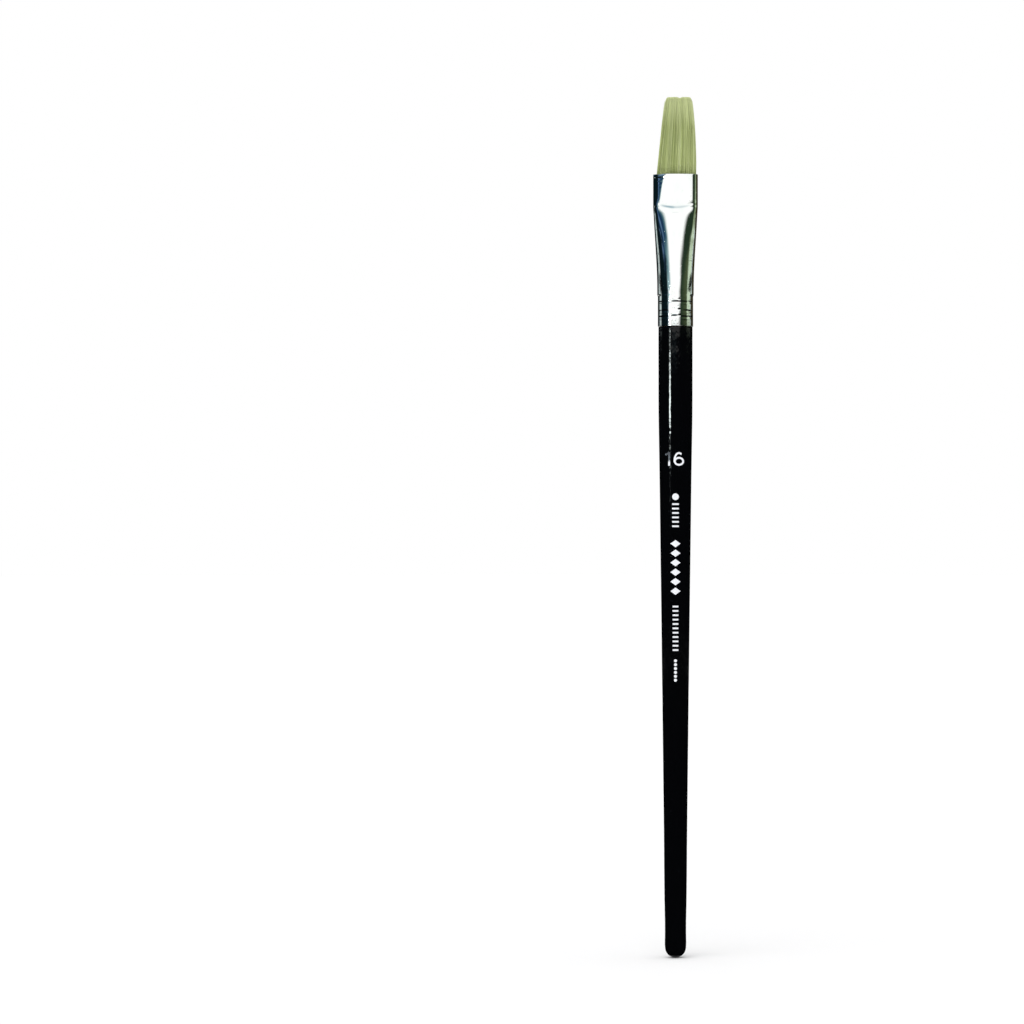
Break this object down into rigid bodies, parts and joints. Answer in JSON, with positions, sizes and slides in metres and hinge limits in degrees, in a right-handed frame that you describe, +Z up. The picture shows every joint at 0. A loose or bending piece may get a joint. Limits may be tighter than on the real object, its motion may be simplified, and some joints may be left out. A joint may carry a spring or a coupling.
{
  "type": "flat bristle brush",
  "caption": "Long-handled flat brush: tapered black lacquered wooden handle, crimped aluminium ferrule pressed flat at its mouth, natural bristle head.",
  "frame": {"origin": "tip of the handle's rounded tail, on the brush's axis", "axes": "+Z up the handle to the bristles, X across the wide face of the bristles, -Y out of the face with the printed size"},
  "size_m": [0.0134, 0.0108, 0.2582],
  "materials": {
    "wood": "matte",
    "lacquer": "gloss",
    "aluminium": "polished",
    "bristle": "matte",
    "adhesive": "gloss",
    "thread": "matte",
    "ink": "satin"
  },
  "bodies": {
    "brush_body": {"handle_core": "wood", "handle_lacquer": "lacquer", "size_number": "ink", "print_marks": "ink", "ferrule": "aluminium", "tuft_root": "bristle", "root_thread": "thread", "glue_plug": "adhesive"},
    "bristle_head": {"tuft": "bristle"}
  },
  "joints": [
    {"name": "bristle_flex", "type": "hinge", "parent": "brush_body", "child": "bristle_head", "pos_m": [0, 0, 0.2349], "axis": [1, 0, 0], "range_deg": [-40, 40], "stiffness_Nm_per_rad": 0.03, "deforming": ["tuft"]}
  ]
}
